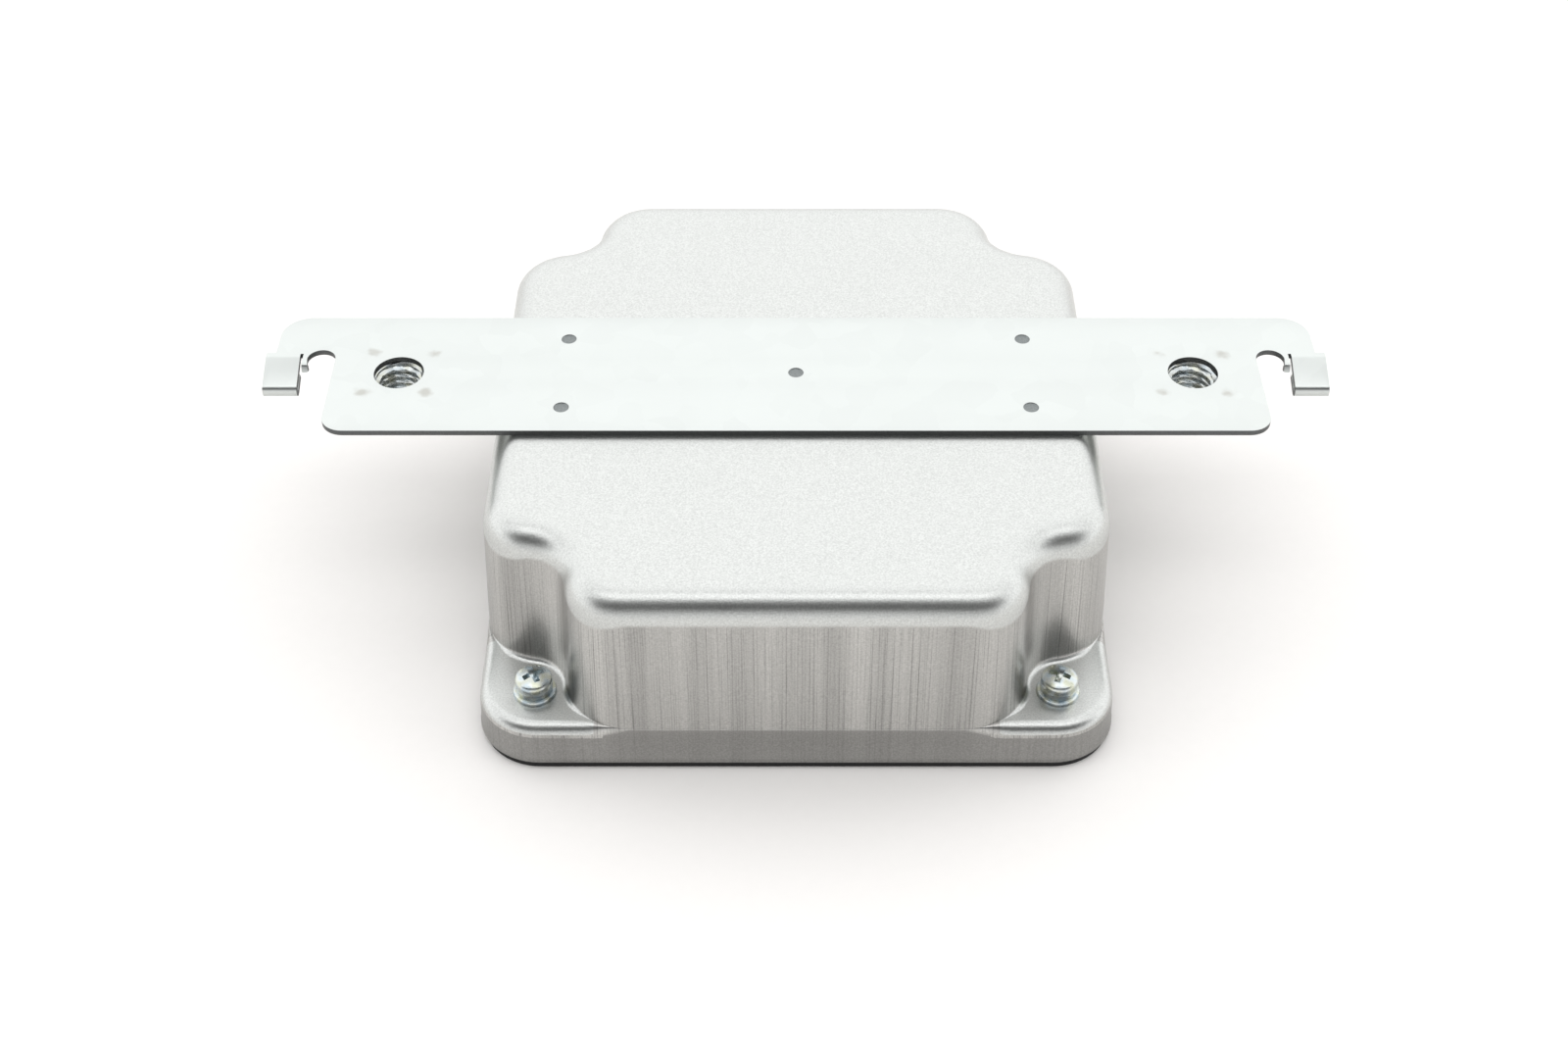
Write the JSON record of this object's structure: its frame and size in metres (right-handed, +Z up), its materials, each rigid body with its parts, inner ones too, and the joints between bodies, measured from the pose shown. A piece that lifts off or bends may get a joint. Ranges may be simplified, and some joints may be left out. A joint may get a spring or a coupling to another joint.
{
  "type": "micro inverter",
  "caption": "Sealed micro inverter in a drawn steel can, hung from a welded bracket with threaded end holes and hooked arms; sockets in its rear wall.",
  "frame": {"origin": "centre of the base plate's underside", "axes": "+X along the bracket, +Y out of the rear wall with the sockets, +Z up out of the can's top"},
  "size_m": [0.18, 0.1213, 0.0361],
  "materials": {
    "can_steel": "zinc-coated drawn sheet, satin on top, drawn grain on the walls",
    "bracket_steel": "galvanised sheet, smooth",
    "zinc_screw": "bright zinc plating with a faint blue tint",
    "zinc_post": "zinc-plated",
    "base_black": "black anodised",
    "seal_rubber": "moulded",
    "board_green": "solder mask",
    "spreader_aluminium": "extruded",
    "moulded_black": "moulded",
    "ferrite_grey": "sintered",
    "winding_copper": "enamelled wire",
    "pad_tan": "silicone",
    "core_yellow": "coated iron powder",
    "capacitor_sleeve": "shrink sleeve",
    "film_yellow": "moulded box",
    "fuse_glass": "clear tube with plated caps",
    "disc_blue": "dipped coating",
    "contact_brass": "gold flashed"
  },
  "bodies": {
    "root": {"cover": "can_steel", "base_plate": "base_black", "base_seal": "seal_rubber", "corner_posts": "zinc_post", "cover_screws": "zinc_screw", "spring_washers": "zinc_screw", "flat_washers": "zinc_screw", "mounting_bracket": "bracket_steel", "weld_nuts": "zinc_post", "board_standoffs": "zinc_post", "circuit_board": "board_green", "board_screws": "zinc_screw", "heat_spreader": "spreader_aluminium", "spreader_screws": "zinc_post", "power_transistors": "moulded_black", "transistor_clips": "zinc_post", "insulating_pad": "pad_tan", "transformer_core": "ferrite_grey", "transformer_bobbin": "moulded_black", "transformer_windings": "winding_copper", "choke_core": "core_yellow", "choke_winding": "winding_copper", "filter_choke_core": "ferrite_grey", "filter_choke_windings": "winding_copper", "input_capacitors": "capacitor_sleeve", "film_capacitors": "film_yellow", "grid_relay": "moulded_black", "line_fuse": "fuse_glass", "fuse_clips": "zinc_post", "surge_varistor": "disc_blue", "control_board": "board_green", "control_header": "moulded_black", "control_chips": "moulded_black", "dc_socket_bodies": "moulded_black", "dc_contacts": "contact_brass", "ac_socket_body": "moulded_black", "ac_contacts": "contact_brass", "socket_seals": "seal_rubber", "socket_nuts": "zinc_post"}
  },
  "joints": []
}
